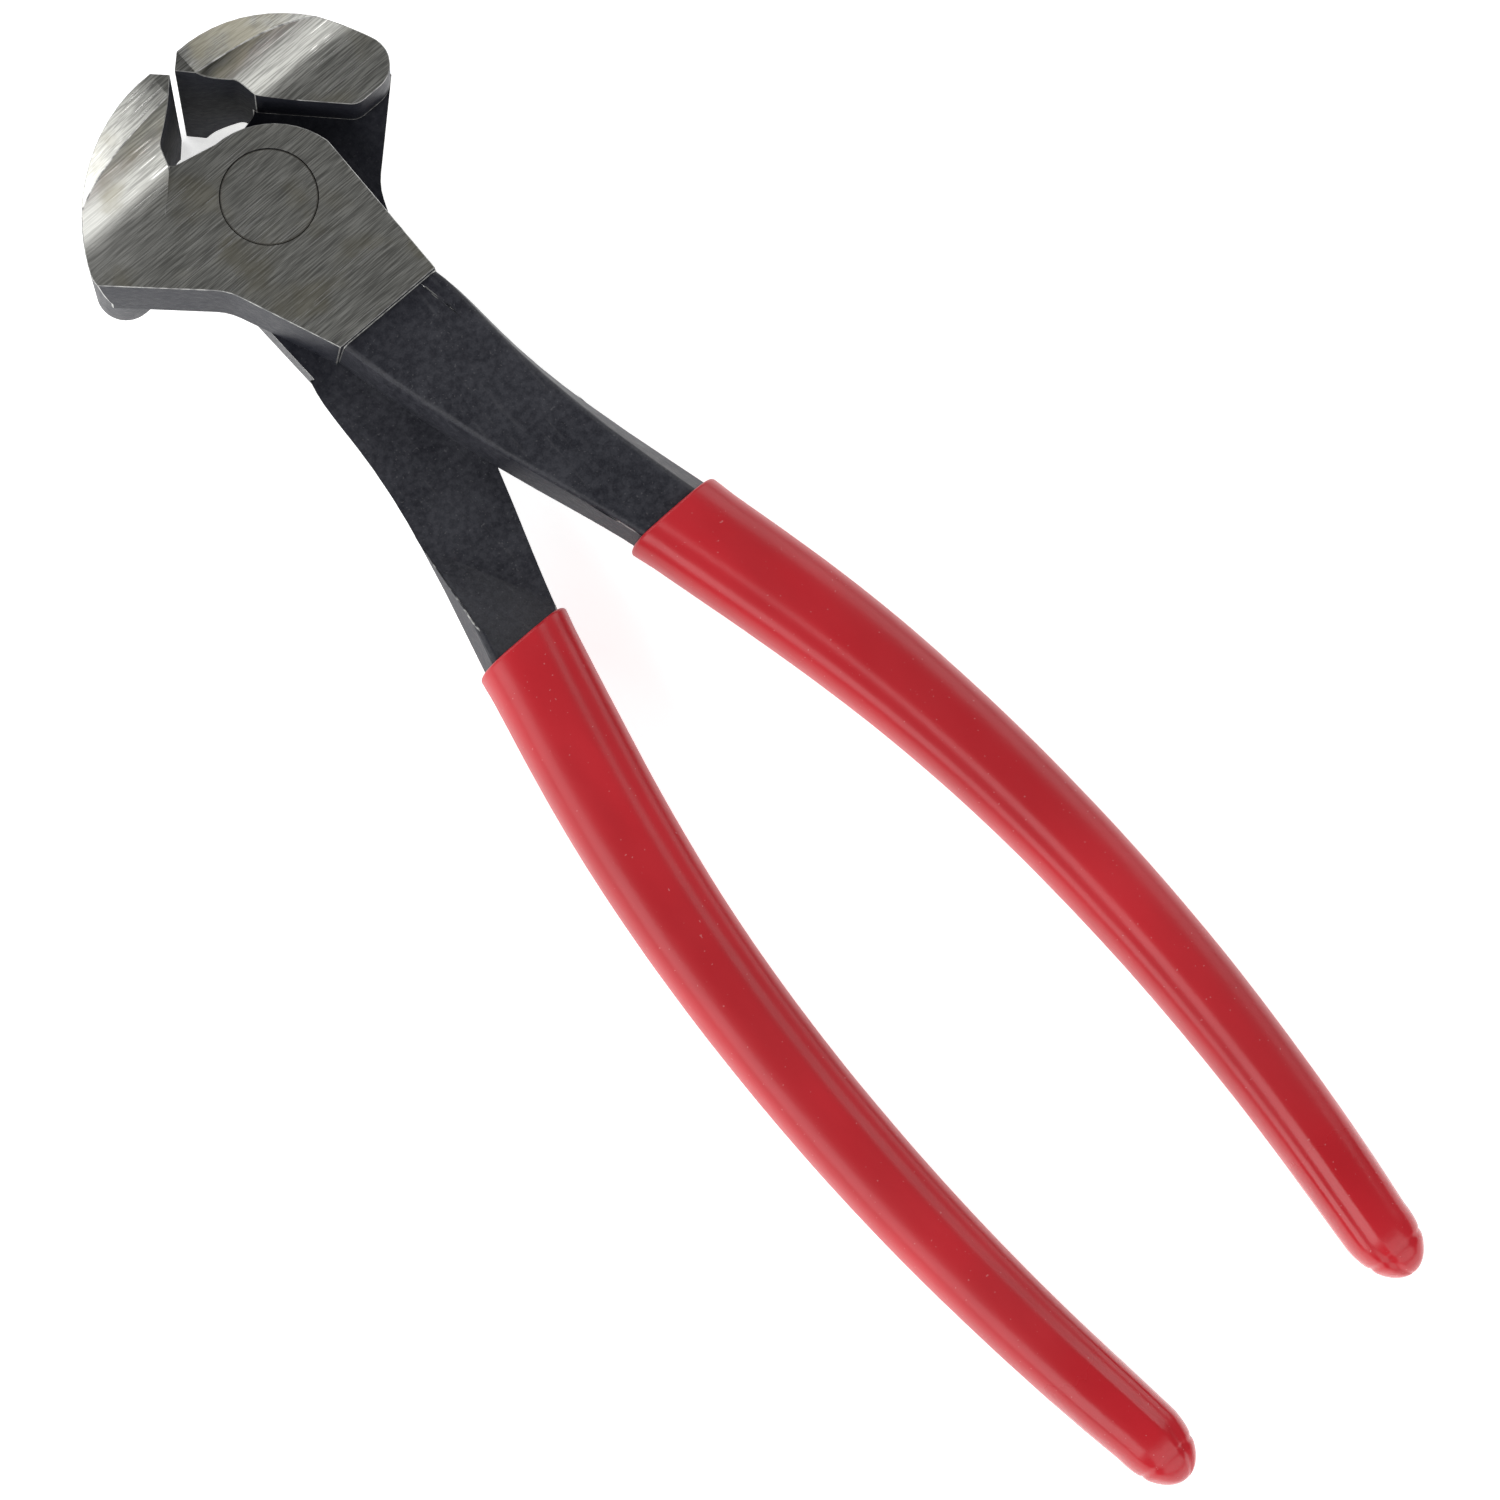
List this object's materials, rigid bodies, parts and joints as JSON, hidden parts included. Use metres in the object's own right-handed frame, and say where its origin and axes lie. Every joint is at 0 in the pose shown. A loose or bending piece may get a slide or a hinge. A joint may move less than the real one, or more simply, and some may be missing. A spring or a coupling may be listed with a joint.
{
  "type": "tile nippers",
  "caption": "End-cutting tile nippers: forged halves crossing in a riveted lap joint, flared jaws with long cutting edges, dipped vinyl grips.",
  "frame": {"origin": "on the rivet's axis, at the rear ground joint face", "axes": "+Y along the tool towards the jaws, +Z along the rivet's axis towards the front joint face, +X to the right seen from the front"},
  "size_m": [0.0678, 0.2539, 0.039],
  "materials": {
    "forged_steel": "black oxide forging with ground faces",
    "ground_steel": "linished",
    "dipped_vinyl": "glossy dipped vinyl"
  },
  "bodies": {
    "rear": {"rear_half": "forged_steel", "rear_grip": "dipped_vinyl", "pivot_rivet": "ground_steel"},
    "front": {"front_half": "forged_steel", "front_grip": "dipped_vinyl"}
  },
  "joints": [
    {"name": "pivot", "type": "hinge", "parent": "rear", "child": "front", "pos_m": [0, 0, 0.0089], "axis": [0, 0, 1], "range_deg": [-2.4, 50]}
  ]
}
